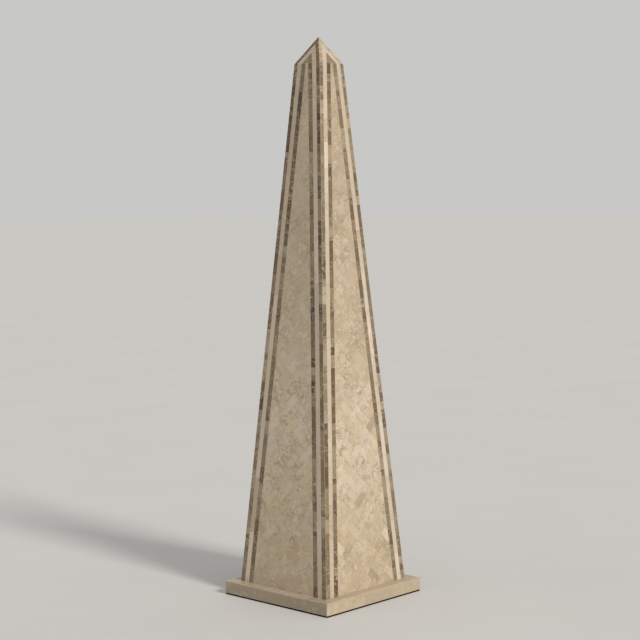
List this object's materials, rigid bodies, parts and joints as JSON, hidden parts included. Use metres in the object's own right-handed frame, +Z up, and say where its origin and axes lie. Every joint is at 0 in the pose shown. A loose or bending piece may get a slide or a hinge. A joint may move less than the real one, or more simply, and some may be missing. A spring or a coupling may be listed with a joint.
{
  "type": "floor-standing stone-clad obelisk",
  "caption": "Tapering square obelisk with a pyramid tip, clad in banded cut stone on a thin square plinth, to stand on a floor as an ornament.",
  "frame": {"origin": "centre of the underside, on the floor", "axes": "+Z up along the obelisk's axis, +X and -Y square to the two faces that show, +Y to the back face"},
  "size_m": [0.458, 0.458, 1.829],
  "materials": {
    "panel_stone": "honed, diagonal small tiles",
    "light_stone": "honed",
    "dark_stone": "polished",
    "cap_stone": "honed",
    "plinth_stone": "honed",
    "board": "raw board",
    "base_board": "dark stain"
  },
  "bodies": {
    "root": {"base_board": "base_board", "plinth_core": "board", "plinth_edge_front": "plinth_stone", "plinth_edge_right": "plinth_stone", "plinth_edge_back": "plinth_stone", "plinth_edge_left": "plinth_stone", "plinth_top_front": "plinth_stone", "plinth_top_right": "plinth_stone", "plinth_top_back": "plinth_stone", "plinth_top_left": "plinth_stone", "shaft_carcass": "board", "cap_core": "board", "front_panel": "panel_stone", "front_inner_bands": "dark_stone", "front_light_bands": "light_stone", "front_corner_bands": "dark_stone", "right_panel": "panel_stone", "right_inner_bands": "dark_stone", "right_light_bands": "light_stone", "right_corner_bands": "dark_stone", "back_panel": "panel_stone", "back_inner_bands": "dark_stone", "back_light_bands": "light_stone", "back_corner_bands": "dark_stone", "left_panel": "panel_stone", "left_inner_bands": "dark_stone", "left_light_bands": "light_stone", "left_corner_bands": "dark_stone", "cap_front_panel": "cap_stone", "cap_front_light_band": "light_stone", "cap_front_edge_band": "dark_stone", "cap_right_panel": "cap_stone", "cap_right_light_band": "light_stone", "cap_right_edge_band": "dark_stone", "cap_back_panel": "cap_stone", "cap_back_light_band": "light_stone", "cap_back_edge_band": "dark_stone", "cap_left_panel": "cap_stone", "cap_left_light_band": "light_stone", "cap_left_edge_band": "dark_stone"}
  },
  "joints": []
}
